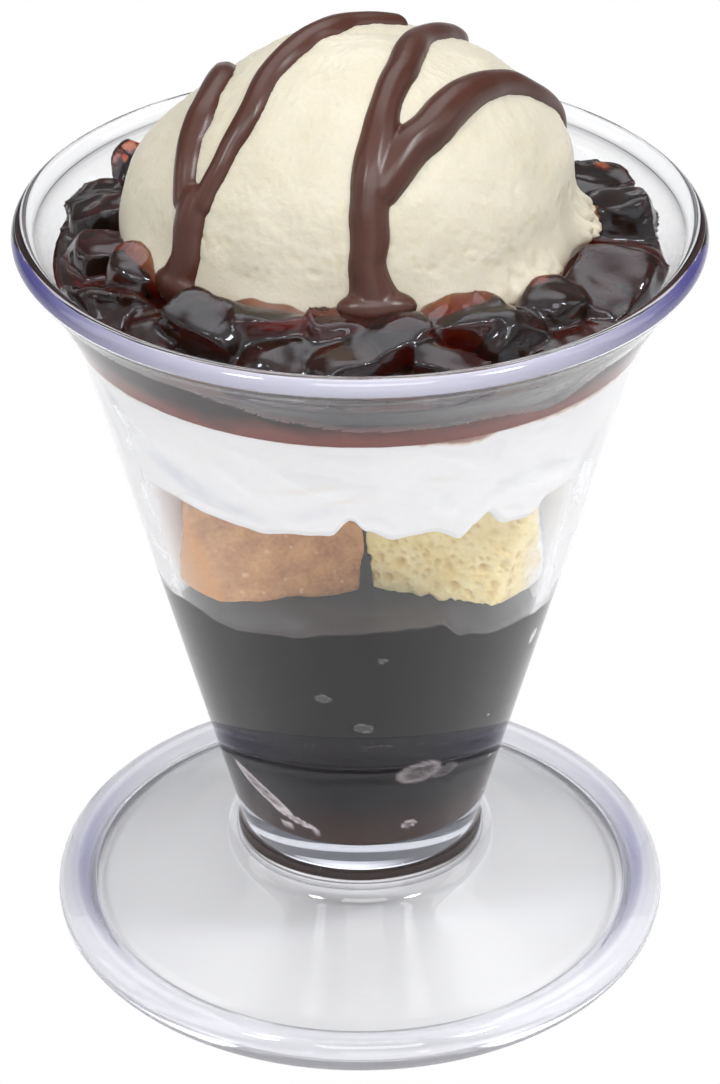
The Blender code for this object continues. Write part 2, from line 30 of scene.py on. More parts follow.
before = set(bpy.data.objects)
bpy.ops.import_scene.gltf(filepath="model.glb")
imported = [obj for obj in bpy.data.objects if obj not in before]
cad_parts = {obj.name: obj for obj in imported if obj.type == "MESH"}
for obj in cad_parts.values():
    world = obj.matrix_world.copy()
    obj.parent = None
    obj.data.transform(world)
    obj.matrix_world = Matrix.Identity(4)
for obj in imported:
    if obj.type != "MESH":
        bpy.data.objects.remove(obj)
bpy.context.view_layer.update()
scene = bpy.context.scene
mm = 0.001
print("frame loaded with", len(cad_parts), "solids")

# Camera, lights and floor

photoCamera = {
    "place": (0.0, -410.67, 306.48),
    "lookDown": 31.57,        # degrees below the horizon
    "lens": 126.25,
    "sensor": 36.0,
}

cameraData = bpy.data.cameras.new("photoCamera")
cameraData.lens = photoCamera["lens"]
cameraData.sensor_width = photoCamera["sensor"]
cameraData.clip_start = 0.01
camera = bpy.data.objects.new("photoCamera", cameraData)
camera.location = Vector(photoCamera["place"]) * mm
camera.rotation_euler = (math.radians(90 - photoCamera["lookDown"]), 0, 0)
scene.collection.objects.link(camera)
scene.camera = camera
scene.view_settings.view_transform = "Standard"

studio = {
    "roomFront": (0.86, 0.86, 0.87),  # what the room gives back before and behind the cup
    "roomBack": (0.22, 0.22, 0.23),
    "roomTurn": (0.45, -0.25),        # where the one becomes the other, 1 is straight behind
    "glow": 2.4,                      # a soft glow high behind, its direction, and how it fades
    "glowFrom": (0.05, 0.50, 0.865),
    "glowSpread": (0.86, 0.985),
    "behind": 1.0,                    # seen past the floor
    "floorColour": (0.67, 0.67, 0.67),
    "floorSize": 8.0,
    # place in mm, size in mm, brightness beside a white page
    "lights": {
        "topSoftbox": ((0, 150, 820), (900, 700), 0.55),
        "keyWindow": ((-330, -300, 700), (100, 130), 39.0),
        "frontTop": ((40, -430, 760), (400, 260), 5.5),
        "rightKey": ((340, -190, 640), (90, 120), 52.0),
        "frontFill": ((260, -900, 420), (700, 500), 0.8),
        "rightStrip": ((620, 40, 420), (240, 460), 1.5),
        "leftStrip": ((-640, 60, 380), (240, 460), 1.3),
    },
}


def addLight(name, place, size, brightness):
    data = bpy.data.lights.new(name, "AREA")
    data.shape = "RECTANGLE"
    data.size, data.size_y = size[0] * mm, size[1] * mm
    data.energy = brightness * math.pi * data.size * data.size_y
    light = bpy.data.objects.new(name, data)
    light.location = Vector(place) * mm
    aim = Vector((0, 0, 60)) * mm - light.location
    light.rotation_euler = aim.to_track_quat("-Z", "Y").to_euler()
    scene.collection.objects.link(light)


def setInput(node, label, value):
    node.inputs[label].default_value = value


def join(links, source, output, target, label):
    links.new(source.outputs[output], target.inputs[label])


def addRange(nodes, first, last, kind="SMOOTHSTEP"):
    # From 0 to 1 between two values
    step = nodes.new("ShaderNodeMapRange")
    step.interpolation_type = kind
    setInput(step, "From Min", first)
    setInput(step, "From Max", last)
    return step


def addMath(nodes, operation, kind="Math"):
    step = nodes.new("ShaderNode" + kind)
    step.operation = operation
    return step


def addColours(nodes, first=None, second=None):
    # A mix of two colours, those not given come from links
    mix = nodes.new("ShaderNodeMix")
    mix.data_type = "RGBA"
    for label, colour in (("A", first), ("B", second)):
        if colour:
            setInput(mix, label, (*colour, 1))
    return mix


def addChoice(nodes, links, toCamera, toRest):
    # One shader for what the camera sees, another for all other light
    seen = nodes.new("ShaderNodeLightPath")
    either = nodes.new("ShaderNodeMixShader")
    join(links, seen, "Is Camera Ray", either, 0)
    join(links, toRest, 0, either, 1)
    join(links, toCamera, 0, either, 2)
    return either.outputs[0]


def makeRoom():
    # Light from all round, brighter from the front, with one glow, and a white page behind
    world = bpy.data.worlds.new("studioRoom")
    scene.world = world
    world.use_nodes = True
    nodes, links = world.node_tree.nodes, world.node_tree.links
    nodes.clear()
    direction = nodes.new("ShaderNodeTexCoord")
    parts = nodes.new("ShaderNodeSeparateXYZ")
    turn = addRange(nodes, *studio["roomTurn"])
    shade = addColours(nodes, studio["roomBack"], studio["roomFront"])
    towards = addMath(nodes, "DOT_PRODUCT", "VectorMath")
    setInput(towards, 1, studio["glowFrom"])
    glow = addRange(nodes, *studio["glowSpread"])
    setInput(glow, "To Max", studio["glow"])
    withGlow = addColours(nodes)
    withGlow.blend_type = "ADD"
    setInput(withGlow, "Factor", 1.0)
    room = nodes.new("ShaderNodeBackground")
    behind = nodes.new("ShaderNodeBackground")
    setInput(behind, "Color", (studio["behind"],) * 3 + (1,))
    out = nodes.new("ShaderNodeOutputWorld")
    join(links, direction, "Generated", parts, 0)
    join(links, parts, "Y", turn, "Value")
    join(links, turn, 0, shade, "Factor")
    join(links, direction, "Generated", towards, 0)
    join(links, towards, "Value", glow, "Value")
    join(links, shade, "Result", withGlow, "A")
    join(links, glow, 0, withGlow, "B")
    join(links, withGlow, "Result", room, "Color")
    links.new(addChoice(nodes, links, behind, room), out.inputs["Surface"])


for lightName, row in studio["lights"].items():
    addLight(lightName, *row)
makeRoom()
print("camera and studio set")

# The grain of all foods, and the materials


def makeGrainGroup():
    # Two sizes of noise on the piece, as a colour between two and a height
    group = bpy.data.node_groups.new("foodGrain", "ShaderNodeTree")
    for label, kind in (("Coarse", "Float"), ("Fine", "Float"), ("Contrast", "Float"),
                        ("Dark", "Color"), ("Light", "Color")):
        group.interface.new_socket(name=label, in_out="INPUT", socket_type="NodeSocket" + kind)
    for label, kind in (("Colour", "Color"), ("Height", "Float")):
        group.interface.new_socket(name=label, in_out="OUTPUT", socket_type="NodeSocket" + kind)
    nodes, links = group.nodes, group.links
    entry = nodes.new("NodeGroupInput")
    result = nodes.new("NodeGroupOutput")
    spot = nodes.new("ShaderNodeTexCoord")
    coarse = nodes.new("ShaderNodeTexNoise")
    setInput(coarse, "Detail", 4.0)
    fine = nodes.new("ShaderNodeTexNoise")
    setInput(fine, "Detail", 3.0)
    both = addMath(nodes, "MULTIPLY_ADD")
    setInput(both, 1, 0.45)
    stretch = addRange(nodes, 0.5, 0.95, "LINEAR")
    power = addMath(nodes, "POWER")
    colour = addColours(nodes)
    join(links, spot, "Object", coarse, "Vector")
    join(links, spot, "Object", fine, "Vector")
    join(links, entry, "Coarse", coarse, "Scale")
    join(links, entry, "Fine", fine, "Scale")
    join(links, fine, "Fac", both, 0)
    join(links, coarse, "Fac", both, 2)
    join(links, both, 0, stretch, "Value")
    join(links, stretch, 0, power, 0)
    join(links, entry, "Contrast", power, 1)
    join(links, power, 0, colour, "Factor")
    join(links, entry, "Dark", colour, "A")
    join(links, entry, "Light", colour, "B")
    join(links, colour, "Result", result, "Colour")
    join(links, fine, "Fac", result, "Height")
    return group


grainGroup = makeGrainGroup()


def newMaterial(name, values):
    material = bpy.data.materials.new(name)
    material.use_nodes = True
    nodes, links = material.node_tree.nodes, material.node_tree.links
    shader = nodes["Principled BSDF"]
    for label, value in values.items():
        setInput(shader, label, value)
    return material, nodes, links, shader


def addRelief(nodes, links, shader, height, bump, depth):
    relief = nodes.new("ShaderNodeBump")
    setInput(relief, "Strength", bump)
    setInput(relief, "Distance", depth * mm)
    links.new(height, relief.inputs["Height"])
    join(links, relief, "Normal", shader, "Normal")


def addGrain(nodes, links, shader, coarse, fine, contrast, dark, light, bump, depth):
    grain = nodes.new("ShaderNodeGroup")
    grain.node_tree = grainGroup
    for socket, value in zip(grain.inputs, (coarse, fine, contrast, (*dark, 1), (*light, 1))):
        socket.default_value = value
    addRelief(nodes, links, shader, grain.outputs["Height"], bump, depth)
    join(links, grain, "Colour", shader, "Base Color")
    return grain.outputs["Colour"]


def letLightIn(nodes, links, shader, tint):
    # Lamps and scattered light pass straight in, so that what lies behind is lit
    clear = nodes.new("ShaderNodeBsdfTransparent")
    setInput(clear, "Color", (*tint, 1))
    path = nodes.new("ShaderNodeLightPath")
    for ray in ("Is Diffuse Ray", "Is Shadow Ray"):
        either = nodes.new("ShaderNodeMixShader")
        join(links, path, ray, either, 0)
        join(links, shader, 0, either, 1)
        join(links, clear, 0, either, 2)
        shader = either
    join(links, shader, 0, nodes["Material Output"], "Surface")


def fillVolume(nodes, links, colour, density):
    inside = nodes.new("ShaderNodeVolumeAbsorption")
    setInput(inside, "Color", (*colour, 1))
    setInput(inside, "Density", density)
    join(links, inside, 0, nodes["Material Output"], "Volume")


plastic = {
    "ior": 1.49, "volume": (0.74, 0.76, 0.82), "density": 45.0,
    "shadow": (0.96, 0.96, 0.965),
    # how clear and how rough, and for lip and bead a plain colour painted as reflection and a dark lilac
    # painted as shade at their sides
    "clear": (1.0, 0.015),
    "lip": (0.55, 0.015, (0.78, 0.77, 0.92), (0.11, 0.095, 0.34)),
    "bead": (0.84, 0.03, (0.90, 0.90, 0.93), (0.33, 0.32, 0.50)),
    # roughness of the foot, the height it ends at, and the radii where it begins and is full
    "satin": 0.17, "satinTop": 9.4, "satinRing": (18.5, 25.0),
}


def makeClearPlastic(name, clearness, roughness, pale=None, paintedSideShade=None):
    material, nodes, links, shader = newMaterial(name, {
        "Base Color": (1, 1, 1, 1), "Roughness": roughness, "IOR": plastic["ior"],
        "Transmission Weight": clearness})
    # the plain colour is a painted reflection, and the mark paints a dark lilac shade at the sides
    if paintedSideShade:
        plain = nodes.new("ShaderNodeRGB")
        plain.outputs[0].default_value = (*pale, 1)
        paintByMark(nodes, links, shader, "paintedSideShade", plain.outputs[0], paintedSideShade)
    fillVolume(nodes, links, plastic["volume"], plastic["density"])
    letLightIn(nodes, links, shader, plastic["shadow"])
    return material


def makeSatin(material):
    # Polished but for the foot, which turns satin away from the neck
    nodes, links = material.node_tree.nodes, material.node_tree.links
    top = plastic["satinTop"]
    start, end = plastic["satinRing"]
    spot = nodes.new("ShaderNodeTexCoord")
    level = addMath(nodes, "MULTIPLY", "VectorMath")
    setInput(level, 1, (1, 1, 0))
    reach = addMath(nodes, "LENGTH", "VectorMath")
    satin = addRange(nodes, start * mm, end * mm)
    setInput(satin, "To Min", plastic["clear"][1])
    setInput(satin, "To Max", plastic["satin"])
    height = nodes.new("ShaderNodeSeparateXYZ")
    foot = addRange(nodes, (top + 0.6) * mm, top * mm, "LINEAR")
    onFoot = addMath(nodes, "MULTIPLY")
    join(links, spot, "Object", height, 0)
    join(links, height, "Z", foot, "Value")
    join(links, spot, "Object", level, 0)
    join(links, level, 0, reach, 0)
    join(links, reach, "Value", onFoot, 0)
    join(links, foot, 0, onFoot, 1)
    join(links, onFoot, 0, satin, "Value")
    join(links, satin, 0, nodes["Principled BSDF"], "Roughness")


def makeChunkJelly():
    material, nodes, links, shader = newMaterial("coffeeJelly", {
        "Base Color": (0.80, 0.48, 0.32, 1), "Roughness": 0.105, "IOR": 1.45,
        "Transmission Weight": 0.99, "Specular Tint": (0.84, 0.91, 1.0, 1)})
    fillVolume(nodes, links, (0.86, 0.46, 0.13), 780.0)
    spot = nodes.new("ShaderNodeTexCoord")
    ripple = nodes.new("ShaderNodeTexNoise")
    setInput(ripple, "Scale", 420.0)
    setInput(ripple, "Detail", 2.0)
    join(links, spot, "Object", ripple, "Vector")
    addRelief(nodes, links, shader, ripple.outputs["Fac"], 0.25, 0.25)
    return material


def makeWallJelly(name, heights, lowColour, highColour, gloss, bubbles=None):
    # Jelly pressed against the cup, browner where light gets in behind it
    material, nodes, links, shader = newMaterial(name, {
        "Roughness": 0.35, "Specular IOR Level": gloss, "IOR": 1.37})
    spot = nodes.new("ShaderNodeTexCoord")
    parts = nodes.new("ShaderNodeSeparateXYZ")
    height = addRange(nodes, heights[0] * mm, heights[1] * mm, "LINEAR")
    cloud = nodes.new("ShaderNodeTexNoise")
    setInput(cloud, "Scale", 120.0)
    shift = addMath(nodes, "MULTIPLY_ADD")
    setInput(shift, 1, 0.006)
    colour = addColours(nodes, lowColour, highColour)
    join(links, spot, "Object", parts, 0)
    join(links, spot, "Object", cloud, "Vector")
    join(links, cloud, "Fac", shift, 0)
    join(links, parts, "Z", shift, 2)
    join(links, shift, 0, height, "Value")
    join(links, height, 0, colour, "Factor")
    join(links, colour, "Result", shader, "Base Color")
    # bubbles are painted paler, a painted reflection of air pockets at the wall
    if bubbles:
        paintByMark(nodes, links, shader, "bubbleReflection", colour.outputs["Result"], bubbles)
    return material


def paintByMark(nodes, links, shader, markName, base, marked):
    # Turns towards another colour where the piece's own mark says so
    mark = nodes.new("ShaderNodeAttribute")
    mark.attribute_name = markName
    colour = addColours(nodes, second=marked)
    join(links, mark, "Fac", colour, "Factor")
    links.new(base, colour.inputs["A"])
    join(links, colour, "Result", shader, "Base Color")
    return colour.outputs["Result"]


foods = {
    # surface: roughness, specular level, subsurface weight, its radius and scale in mm
    # grain: coarse and fine scale, contrast, dark and light colour, bump strength and depth in mm
    # marks: the piece's own marks and the colours they bring, some of them painted shade
    "spongeCrumb": {
        "surface": (0.85, 0.2, 0.5, (1.0, 0.8, 0.35), 1.0),
        "grain": (420.0, 2200.0, 0.8, (0.78, 0.60, 0.25), (0.86, 0.75, 0.42), 0.6, 0.3),
        # the crumb's pores are painted darker, a painted shade in the hollows; the smear is cream over
        # the cut
        "marks": {"pore": (0.60, 0.40, 0.12), "smear": (0.80, 0.80, 0.79)},
    },
    "spongeCrust": {
        "surface": (0.7, 0.3, 0.1, (1.0, 0.6, 0.3), 0.6),
        "grain": (260.0, 1900.0, 0.9, (0.325, 0.122, 0.036), (0.61, 0.315, 0.118), 0.8, 0.35),
        # the crust's pores are pale flecks; a deeper orange is painted where it touches the wall, where
        # no reflected haze lies over it
        "marks": {"pore": (0.74, 0.50, 0.30), "paintedWallContact": (0.60, 0.25, 0.045)},
    },
    "whippedCream": {
        "surface": (0.5, 0.15, 0.6, (1.0, 0.9, 0.8), 1.5),
        "grain": (150.0, 900.0, 1.0, (0.77, 0.765, 0.76), (0.81, 0.805, 0.80), 0.08, 0.2),
        "marks": {"shade": (0.57, 0.585, 0.63), "stain": (0.62, 0.48, 0.33)},
    },
    "vanillaIce": {
        "surface": (0.42, 0.35, 0.5, (1.0, 0.8, 0.5), 1.4),
        "grain": (110.0, 2400.0, 0.8, (0.465, 0.428, 0.332), (0.505, 0.470, 0.382), 0.4, 0.12),
        # pits and tears are painted darker, a painted shade in the hollows
        "marks": {"pit": (0.43, 0.375, 0.235)},
    },
    "chocolateSauce": {
        "surface": (0.30, 0.32, 0.1, (1.0, 0.4, 0.25), 0.8),
        "grain": (90.0, 1300.0, 1.0, (0.046, 0.0145, 0.009), (0.060, 0.020, 0.013), 0.04, 0.1),
        "marks": {},
    },
}


def makeFood(name):
    roughness, specular, weight, radius, scale = foods[name]["surface"]
    material, nodes, links, shader = newMaterial(name, {
        "Roughness": roughness, "Specular IOR Level": specular, "Subsurface Weight": weight,
        "Subsurface Radius": radius, "Subsurface Scale": scale * mm})
    colour = addGrain(nodes, links, shader, *foods[name]["grain"])
    for markName, marked in foods[name]["marks"].items():
        colour = paintByMark(nodes, links, shader, markName, colour, marked)
    return material


clearPlastic = makeClearPlastic("clearPlastic", *plastic["clear"])
lipPlastic = makeClearPlastic("lipPlastic", *plastic["lip"])
beadPlastic = makeClearPlastic("beadPlastic", *plastic["bead"])
makeSatin(clearPlastic)
chunkJelly = makeChunkJelly()
lowJellyWall = makeWallJelly("jellyAtWall", (18.5, 29.0), (0.050, 0.018, 0.012), (0.006, 0.004, 0.005),
                             0.02, bubbles=(0.62, 0.55, 0.56))
heapJellyWall = makeWallJelly("heapAtWall", (92.6, 95.6), (0.17, 0.052, 0.042), (0.018, 0.008, 0.009),
                              0.02)
jellyTop = makeWallJelly("jellyTop", (40.0, 60.0), (0.008, 0.005, 0.005), (0.012, 0.008, 0.008), 0.5)
spongeCrumb = makeFood("spongeCrumb")
spongeCrust = makeFood("spongeCrust")
whippedCream = makeFood("whippedCream")
vanillaIce = makeFood("vanillaIce")
chocolateSauce = makeFood("chocolateSauce")
print("materials made")

# Making of pieces, which stand at the origin and have their place in the mesh


def ease(value):
    value = min(max(value, 0.0), 1.0)
    return value * value * (3.0 - 2.0 * value)


def bell(distance, width):
    return math.exp(-(distance / width) ** 2)


def turnBetween(a, b):
    return (a - b + 180.0) % 360.0 - 180.0


def aroundWall(table, azimuth):
    # A value that changes smoothly round the cup, from (azimuth, value) rows
    azimuth = (azimuth + 180.0) % 360.0 - 180.0
    rows = list(table)
    rows = [(rows[-1][0] - 360.0, rows[-1][1])] + rows + [(rows[0][0] + 360.0, rows[0][1])]
    for (a, low), (b, high) in zip(rows, rows[1:]):
        if a <= azimuth <= b:
            return low + (high - low) * ease((azimuth - a) / (b - a))
    return rows[0][1]


def azimuthOf(point):
    return math.degrees(math.atan2(point.y, point.x))


def radiusOf(point):
    return math.hypot(point.x, point.y)


def setRadius(point, radius, target):
    if radius > 0.001:
        point.x *= target / radius
        point.y *= target / radius


def smoothChain(points, count):
    # More points on a smooth line through the given ones
    chain = [Vector(p) for p in points]
    ends = [chain[0] * 2 - chain[1]] + chain + [chain[-1] * 2 - chain[-2]]
    result = [chain[0]]
    for a, b, c, d in zip(ends, ends[1:], ends[2:], ends[3:]):
        for i in range(1, count + 1):
            t = i / count
            result.append(0.5 * (2 * b + (c - a) * t + (2 * a - 5 * b + 4 * c - d) * t * t
                                 + (3 * b - a - 3 * c + d) * t ** 3))
    return result


def rotation(degrees, axis):
    return Matrix.Rotation(math.radians(degrees), 4, axis)


def sectionAngle(point, middle):
    # Degrees round the section of a ring, 0 outwards and 90 upwards
    return math.degrees(math.atan2(point.z - middle[1], radiusOf(point) - middle[0]))


def softLine(points):
    return [(p.x, p.y) for p in smoothChain([(r, z, 0.0) for r, z in points], 5)]


def arcPoints(centre, half, start, end, count):
    points = []
    for i in range(count + 1):
        angle = math.radians(start + (end - start) * i / count)
        points.append((centre[0] + half[0] * math.cos(angle), centre[1] + half[1] * math.sin(angle)))
    return points


def spread(first, last, count):
    return [first + (last - first) * i / (count - 1) for i in range(count)]


def spunProfile(points, steps):
    bm = bmesh.new()
    verts = [bm.verts.new((p[0], 0.0, p[1])) for p in points]
    edges = [bm.edges.new(pair) for pair in zip(verts, verts[1:])]
    bmesh.ops.spin(bm, geom=verts + edges, axis=(0, 0, 1), cent=(0, 0, 0),
                   angle=math.tau, steps=steps, use_merge=True)
    bmesh.ops.remove_doubles(bm, verts=bm.verts, dist=0.001)
    bmesh.ops.recalc_face_normals(bm, faces=bm.faces)
    return bm


def newPiece(name, bm, materials, stands):
    bmesh.ops.scale(bm, vec=(mm, mm, mm), verts=bm.verts)
    mesh = bpy.data.meshes.new(name)
    bm.to_mesh(mesh)
    bm.free()
    for material in materials:
        mesh.materials.append(material)
    mesh.shade_smooth()
    piece = bpy.data.objects.new(name, mesh)
    scene.collection.objects.link(piece)
    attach(piece, "root")
    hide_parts(*stands)
    print("made", name, "with", len(mesh.polygons), "faces")
    return piece


def meltTogether(bm, voxel, smoothing):
    # One skin round closed shapes that run into each other, softened where they meet
    bmesh.ops.scale(bm, vec=(mm, mm, mm), verts=bm.verts)
    mesh = bpy.data.meshes.new("melting")
    bm.to_mesh(mesh)
    bm.free()
    lump = bpy.data.objects.new("melting", mesh)
    scene.collection.objects.link(lump)
    remesh = lump.modifiers.new("skin", "REMESH")
    remesh.mode = "VOXEL"
    remesh.voxel_size = voxel * mm
    soften = lump.modifiers.new("soften", "SMOOTH")
    soften.factor = 0.5
    soften.iterations = smoothing
    bpy.context.view_layer.update()
    skinned = lump.evaluated_get(bpy.context.evaluated_depsgraph_get()).to_mesh()
    result = bmesh.new()
    result.from_mesh(skinned)
    lump.to_mesh_clear()
    bpy.data.objects.remove(lump)
    bpy.data.meshes.remove(mesh)
    bmesh.ops.scale(result, vec=(1 / mm,) * 3, verts=result.verts)
    return result


# The cup

cup = {
    "steps": 256,
    "footRing": 37.85, "footBead": 2.33, "restRing": (37.2, 38.5),
    "plateThickness": 2.1, "plateSlope": 0.41, "plateTop": (17.4, 10.35),
    "underside": (11.9, 10.5), "floor": 18.0, "floorCorner": 2.5,
    "footEdge": (36.3, 36.75),    # radii where the underside bends down to the rest ring
    "neckTop": 15.0, "neckRadius": 15.9,
    "neck": ((15.9, 15.0), (15.66, 13.8), (16.15, 12.3), (17.5, 10.5), (19.4, 9.55)),
    "coneSlope": 0.263, "flareSlope": 0.31, "flareHeight": 88.0, "flareBlend": 1.5,
    "wall": 1.95, "flareWall": 0.12,
    "beadRise": ((34.3, 3.48), (35.3, 3.42), (36.2, 3.98), (36.95, 4.45)),
    "lip": (40.6, 99.0), "lipHalf": (1.4, 1.5),
    # first, last and how many rows of the wall, the plate and their undersides
    "inside": (24.0, 97.2, 40), "outside": (96.6, 17.0, 44),
    "plate": (21.5, 33.5, 14), "below": (35.0, 19.0, 14),
    # azimuth and half width of the stretches at the sides where lip and bead get a painted lilac shade
    "lipPaintedShade": ((-160, 30), (-20, 30)), "beadPaintedShade": ((180, 34), (0, 34)),
    "beadPaintedShadeBand": (118, 40),        # middle and half width, in the bead's section, of its painted shade
    "lipPaintedBand": (-14, 74),         # the part of the lip's section with its painted reflection and shade
    "lipPaintedFront": (-90, 98, 30),    # azimuth, half width and fading of that band
}


def outerRadius(z):
    rise = z - cup["flareHeight"]
    flare = 0.5 * (rise + math.sqrt(rise * rise + cup["flareBlend"] ** 2))
    return cup["neckRadius"] + cup["coneSlope"] * (z - cup["neckTop"]) + cup["flareSlope"] * flare


def innerRadius(z):
    return outerRadius(z) - cup["wall"] - cup["flareWall"] * ease((z - cup["flareHeight"]) / 4.0)


def plateTop(radius):
    return cup["plateTop"][1] - cup["plateSlope"] * (radius - cup["plateTop"][0])


def floorCorner(room, count):
    lean = math.atan(cup["coneSlope"])
    height = cup["floor"] + cup["floorCorner"]
    centre = (innerRadius(height) - cup["floorCorner"] / math.cos(lean), height)
    half = cup["floorCorner"] - room
    return arcPoints(centre, (half, half), -90, -math.degrees(lean), count)


def makeCup():
    inside = [(innerRadius(z), z) for z in spread(*cup["inside"])]
    outside = [(outerRadius(z), z) for z in spread(*cup["outside"])]
    profile = [(r, cup["floor"]) for r in spread(0.0, 10.0, 5)]
    profile += floorCorner(0.0, 8) + inside
    profile += arcPoints(cup["lip"], cup["lipHalf"], 175, -62, 44) + outside
    profile += softLine(cup["neck"])
    profile += [(r, plateTop(r)) for r in spread(*cup["plate"])]
    profile += softLine(cup["beadRise"])
    profile += arcPoints((cup["footRing"], cup["footBead"]), (cup["footBead"],) * 2, 98, -62, 20)
    profile += [(r, 0.0) for r in reversed(cup["restRing"])]
    inner, outer = cup["footEdge"]
    profile += [(outer, 0.35), (inner, plateTop(inner) - cup["plateThickness"])]
    profile += [(r, plateTop(r) - cup["plateThickness"]) for r in spread(*cup["below"])]
    reach, height = cup["underside"]
    profile += [(reach + 0.35, height - 0.1), (reach - 0.2, height), (0.0, height)]
    bm = spunProfile(profile, cup["steps"])
    # a dark lilac painted at the left and right of lip and bead, a painted shade for the long paths and
    # dark reflections seen there
    mark = bm.verts.layers.float.new("paintedSideShade")
    for vertex in bm.verts:
        azimuth = azimuthOf(vertex.co)
        onLip = vertex.co.z > cup["flareHeight"]
        rows = cup["lipPaintedShade"] if onLip else cup["beadPaintedShade"]
        vertex[mark] = max(bell(turnBetween(azimuth, place), width) for place, width in rows)
        if not onLip:
            section = sectionAngle(vertex.co, (cup["footRing"], cup["footBead"]))
            vertex[mark] *= bell(section - cup["beadPaintedShadeBand"][0], cup["beadPaintedShadeBand"][1])
    # the lip's painted colours go on the outer, upper part of its section, widest at the front and none
    # at the back
    front, wide, fading = cup["lipPaintedFront"]
    first, last = cup["lipPaintedBand"]
    for face in bm.faces:
        middle = face.calc_center_median()
        radius = radiusOf(middle)
        if middle.z > cup["lip"][1] - 1.7 and radius > cup["lip"][0] - 0.4:
            share = ease((wide - abs(turnBetween(azimuthOf(middle), front))) / fading)
            if first < sectionAngle(middle, cup["lip"]) < first + (last - first) * share:
                face.material_index = 1
        elif radius > 35.2 and middle.z < 5.0:
            face.material_index = 2
    return newPiece("clearCup", bm, [clearPlastic, lipPlastic, beadPlastic], ("cup",))


makeCup()

# The lower jelly, pressed against the wall but for some of its bubbles, with a painted reflection where
# the bubbles are

lowerJelly = {
    "steps": 300, "rows": 92,
    "bite": 0.12,             # how far it reaches into the wall, so that no air shows between
    "top": 57.5,
    "topShares": (0.0, 0.3, 0.5, 0.65, 0.75, 0.8, 0.84, 0.88, 0.91, 0.94, 0.965, 0.985),
    # azimuth, and height of its edge at the wall
    "contact": ((-159, 53.6), (-143, 55.0), (-131, 54.2), (-109, 55.7), (-96, 57.0), (-78, 57.6),
                (-69, 57.4), (-60, 54.6), (-47, 53.0), (-37, 52.6), (-19, 51.2), (20, 53.6),
                (60, 55.6), (95, 54.4), (140, 56.0)),
    "contactWave": (0.35, 7.0),   # height, and length in degrees
    # azimuth, height, half length, half height, turn, depth, how pale its painted reflection is
    "bubbles": (
        (-101.6, 45.5, 0.90, 0.75, 8, 0.35, 0.22),
        (-88.8, 40.5, 1.30, 0.70, -5, 0.35, 0.22),
        (-24.0, 46.8, 0.75, 1.10, -25, 0.4, 0.35),
        (-83.6, 52.5, 0.45, 0.40, 0, 0.3, 0.15),
        (-67.0, 31.2, 3.10, 1.90, 4, 0.0, 0.30),
        (-55.5, 30.2, 1.9, 1.10, 10, 0.0, 0.14),
        (-135.0, 25.0, 5.2, 1.15, -33, 0.0, 0.80),
        (-120.0, 21.8, 3.6, 0.55, -22, 0.0, 1.0),
        (-123.0, 19.8, 1.6, 0.80, -16, 0.0, 0.8),
        (-68.0, 21.6, 1.00, 0.72, 12, 0.0, 0.6),
        (-39.5, 37.2, 0.30, 0.28, 0, 0.2, 0.4),
        (-20.0, 20.4, 0.35, 0.3, 0, 0.2, 0.4),
        (-27.0, 27.8, 0.3, 0.3, 0, 0.2, 0.4),
        (58.0, 41.5, 1.1, 0.7, 12, 0.35, 0.25),
        (97.0, 33.0, 1.6, 0.8, -8, 0.4, 0.25),
        (133.0, 47.0, 0.8, 0.6, 0, 0.3, 0.25),
    ),
}


def awayFrom(azimuth, z, place, height, wide, high, turn):
    # Distance from the middle of an ellipse on the wall, 1 at its edge
    along = math.radians(turnBetween(azimuth, place)) * innerRadius(height)
    up = z - height
    c, s = math.cos(math.radians(turn)), math.sin(math.radians(turn))
    return math.hypot((along * c + up * s) / wide, (up * c - along * s) / high)


def bubbleDepth(azimuth, z):
    # How far the jelly stands back from the wall here, and how pale the painted reflection of a bubble
    # makes it
    depth, look = 0.0, 0.0
    for *spot, deep, pale in lowerJelly["bubbles"]:
        away = awayFrom(azimuth, z, *spot)
        if away < 1.0:
            if deep:
                depth = max(depth, lowerJelly["bite"] + 0.03 + deep * (1.0 - away * away))
            ring = 0.50 + 0.75 * bell(away - 0.80, 0.18)      # a painted highlight along its edge
            ring += 0.5 * noise.noise(Vector((azimuth / 2.5 + z * 1.2, z * 2.5, 1.0)))
            look = max(look, pale * ring * ease((1.0 - away) * 8.0))
    return depth, look


